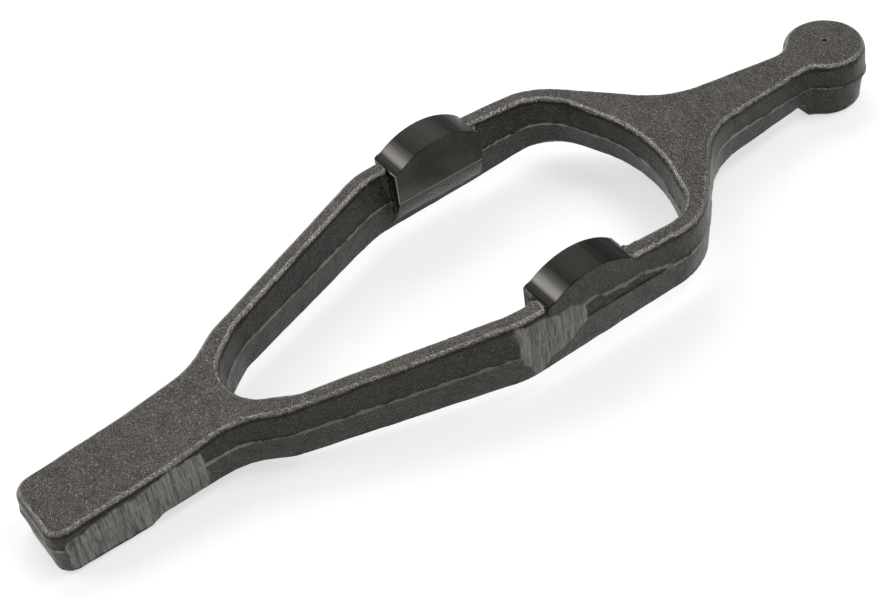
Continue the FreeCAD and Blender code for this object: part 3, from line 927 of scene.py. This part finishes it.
# %% Machined face: colours
# The crest colour is oiled steel darkened further as painted shade.
CREST_STEEL_AND_SHADE = (0.0095, 0.0083, 0.006)
FLAT_DARK = (0.024, 0.0232, 0.0185)
FLAT_LIGHT = (0.044, 0.0425, 0.035)
CUTTER_STRETCH = (900.0, 60.0, 900.0)
STREAK_STRENGTH = 0.012
LOWER_EDGE_STRENGTH = 0.45
CORNER_STRENGTH = 0.12

pad_steel = bpy.data.materials.new("machined_face")
pad_steel.use_nodes = True
tree = pad_steel.node_tree
pad_shader = tree.nodes["Principled BSDF"]
coordinates = tree.nodes.new("ShaderNodeTexCoord")
place = coordinates.outputs["Object"]
where = tree.nodes.new("ShaderNodeSeparateXYZ")
tree.links.new(place, where.inputs[0])
x, y, z = where.outputs
facing = tree.nodes.new("ShaderNodeSeparateXYZ")
tree.links.new(coordinates.outputs["Normal"], facing.inputs[0])
cutter = add_group(tree, tool_lines, Place=place, Stretch=CUTTER_STRETCH)
clouds_of_oil = steps(tree, noise_of(tree, place, 70.0, 3.0, 0.6), 0.35, 0.65)
flat_colour = blend_colour(tree, clouds_of_oil, FLAT_DARK, FLAT_LIGHT)
lower_edge = steps(tree, z, PAD_FLAT_BOTTOM + 0.3 * MM, PAD_FLAT_BOTTOM + 0.6 * MM, inverse=True)
corner = steps(tree, calc(tree, "MULTIPLY_ADD", x, 0.35, z), 24 * MM, 34 * MM, inverse=True)
lower_edge = product(tree, lower_edge, LOWER_EDGE_STRENGTH)
lightened = calc(tree, "MAXIMUM", lower_edge, product(tree, corner, CORNER_STRENGTH))
flat_colour = blend_colour(tree, lightened, flat_colour, RUBBED_STEEL_AND_HIGHLIGHT)
on_crest = steps(tree, calc(tree, "ABSOLUTE", facing.outputs["Y"]), 0.35, 0.75, inverse=True)
colour = blend_colour(tree, on_crest, flat_colour, CREST_STEEL_AND_SHADE)
streaks = product(tree, cutter.outputs["Streaks"], STREAK_STRENGTH)
colour = blend_colour(tree, streaks, colour, RUBBED_STEEL_AND_HIGHLIGHT)
print("machined colours from", CREST_STEEL_AND_SHADE, "to", FLAT_LIGHT)

# %% [markdown]
# ## Rubbed band and painted highlight on the crests
#
# The bearing's lug first touches a crest at its tang end and has rubbed a band there, and the band's bright
# colour is also a painted highlight.  The band ends along x, and the cutter's streaks move that end a
# little, so it isn't a ruled line.  The thin rim at the very end of the pad gets a painted highlight.

# %% Machined face: rubbed band with painted highlight, painted rim highlight, gloss and bump
BAND_AND_HIGHLIGHT_STRENGTH = 0.42
RIM_HIGHLIGHT_STRENGTH = 0.7
CUTTER_DEPTH = 0.08 * MM

# Band at the crest's tang end: real rubbing and a painted highlight.
band_end = calc(tree, "MULTIPLY_ADD", cutter.outputs["Streaks"], 0.7 * MM, x)
band_and_highlight = steps(tree, band_end, -4.5 * MM, 2.0 * MM, inverse=True)
above_hollow = steps(tree, z, HOLLOW_TOP, 41.6 * MM)
band_and_highlight = product(tree, band_and_highlight, above_hollow, on_crest, BAND_AND_HIGHLIGHT_STRENGTH)
# Painted highlight along the rim at the pad's tang end.
rim_highlight = steps(tree, x, PAD_START_X + 0.2 * MM, PAD_START_X + 0.6 * MM, inverse=True)
band_and_highlight = calc(tree, "MAXIMUM", band_and_highlight, product(tree, rim_highlight, RIM_HIGHLIGHT_STRENGTH))
tree.links.new(blend_colour(tree, band_and_highlight, colour, RUBBED_STEEL_AND_HIGHLIGHT), pad_shader.inputs["Base Color"])
pad_shader.inputs["Metallic"].default_value = METAL_SHARE
pad_shader.inputs["Specular IOR Level"].default_value = 0.25
pad_shader.inputs["Roughness"].default_value = 0.36
bump = tree.nodes.new("ShaderNodeBump")
bump.inputs["Strength"].default_value = 0.4
bump.inputs["Distance"].default_value = CUTTER_DEPTH
tree.links.new(cutter.outputs["Height"], bump.inputs["Height"])
tree.links.new(bump.outputs["Normal"], pad_shader.inputs["Normal"])
fork.data.materials.append(pad_steel)
print("machined face", len(tree.nodes), "nodes")

# %% [markdown]
# ## Two finishes on one piece
#
# The fork is one forging, so it stays one piece with two materials.  Every face has a number that says
# which of the piece's materials it shows, and the faces that lie wholly where the cutter went get number 1.

# %% Give the machined faces their finish
machined = 0
for face in fork.data.polygons:
    if all(is_machined(fork.data.vertices[index].co) for index in face.vertices):
        face.material_index = 1
        machined += 1
print("machined faces", machined)

# %% [markdown]
# ## Floor
#
# The fork lies on white paper.  A white floor would throw so much light up that the walls turn grey.  The
# floor's own colour is a light grey instead, and only to the camera and in reflections it glows a little,
# which takes it up to white while the fork's own light stays plain.

# %% Floor
bpy.ops.object.select_all(action="DESELECT")
bpy.ops.mesh.primitive_plane_add(size=6, location=(0, 0, 0))
floor = bpy.context.object
floor.name = "floor"
floor_material = bpy.data.materials.new("floor")
floor_material.use_nodes = True
floor.data.materials.append(floor_material)
tree = floor_material.node_tree
nodes = tree.nodes
links = tree.links
floor_shader = nodes["Principled BSDF"]
floor_shader.inputs["Base Color"].default_value = (0.45, 0.45, 0.45, 1)
floor_shader.inputs["Roughness"].default_value = 0.9
glow = nodes.new("ShaderNodeEmission")
glow.inputs["Strength"].default_value = 0.62
seen = nodes.new("ShaderNodeLightPath")
looked_at = calc(tree, "MAXIMUM", seen.outputs["Is Camera Ray"], seen.outputs["Is Glossy Ray"])
looked_at = calc(tree, "MAXIMUM", looked_at, seen.outputs["Is Transmission Ray"])
both = nodes.new("ShaderNodeAddShader")
chosen = nodes.new("ShaderNodeMixShader")
links.new(floor_shader.outputs["BSDF"], both.inputs[0])
links.new(glow.outputs["Emission"], both.inputs[1])
links.new(looked_at, chosen.inputs["Fac"])
links.new(floor_shader.outputs["BSDF"], chosen.inputs[1])
links.new(both.outputs["Shader"], chosen.inputs[2])
links.new(chosen.outputs["Shader"], nodes["Material Output"].inputs["Surface"])
print("floor ready")

# %% [markdown]
# ## Light
#
# The studio is soft.  One point lamp would give hard shadows and small sharp highlights, so the lamps are
# large rectangles.  The key stands high behind the fork and lights its top faces, a weaker one to its left
# puts the band of light on the crests, and two faint ones lift the near walls and the top of the ring.

# %% World and lamps
world = bpy.data.worlds.new("studio")
bpy.context.scene.world = world
world.use_nodes = True
background = world.node_tree.nodes["Background"]
background.inputs["Color"].default_value = (1, 1, 1, 1)
background.inputs["Strength"].default_value = 0.3


def soft_box(name, place, target, width, height, watts):
    """A rectangular studio lamp at a place, turned to its target."""
    data = bpy.data.lights.new(name, "AREA")
    data.shape = "RECTANGLE"
    data.size = width
    data.size_y = height
    data.energy = watts
    lamp = bpy.data.objects.new(name, data)
    bpy.context.scene.collection.objects.link(lamp)
    lamp.location = place
    lamp.rotation_euler = (Vector(target) - Vector(place)).to_track_quat("-Z", "Y").to_euler()
    return lamp


soft_box("key", (0.75, 1.85, 2.0), (0, 0, 0), 2.2, 2.2, 45)
soft_box("left", (-1.6, 1.6, 1.75), (0, 0, 0), 1.3, 1.3, 22)
soft_box("front", (1.3, -2.2, 2.1), (0, 0, 0), 1.6, 1.6, 14)
soft_box("ring", (0.55, -0.30, 1.15), (0.08, 0, 0), 0.5, 0.5, 5)
bpy.context.scene.view_settings.view_transform = "Standard"
print("studio lit")
